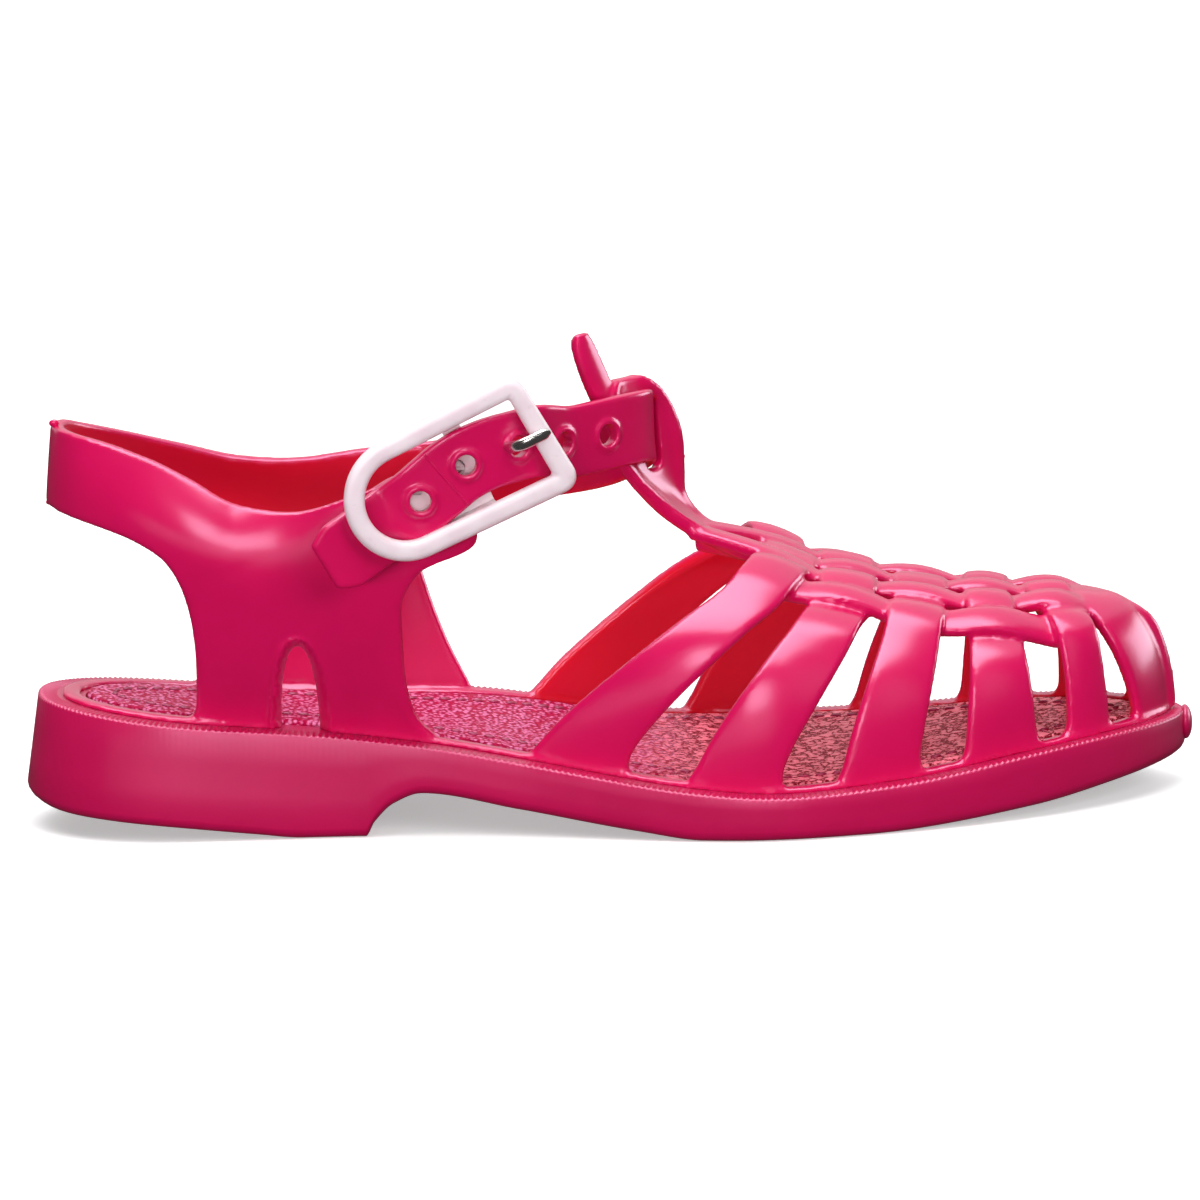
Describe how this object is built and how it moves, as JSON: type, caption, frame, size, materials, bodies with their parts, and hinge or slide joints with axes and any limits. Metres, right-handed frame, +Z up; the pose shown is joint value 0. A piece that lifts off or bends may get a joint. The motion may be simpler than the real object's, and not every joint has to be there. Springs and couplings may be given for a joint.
{
  "type": "beach sandal",
  "caption": "Child's moulded beach sandal for the right foot, with a woven strap vamp, a T-bar, an open heel counter and a buckled ankle strap.",
  "frame": {"origin": "middle of the sandal's box on the plane that its heel and ball stand on", "axes": "+X from the heel to the toe, +Y to the inner side of the foot, +Z up"},
  "size_m": [0.1806, 0.0696, 0.0757],
  "materials": {
    "outsole": "glossy soft vinyl",
    "insole": "grained soft vinyl",
    "upper": "glossy soft vinyl",
    "buckle_frame": "milky hard plastic",
    "buckle_metal": "plated steel"
  },
  "bodies": {
    "root": {"outsole": "outsole", "insole": "insole", "upper": "upper", "buckle_frame": "buckle_frame", "buckle_prong": "buckle_metal", "rivet_rear": "buckle_metal", "rivet_front": "buckle_metal"}
  },
  "joints": []
}
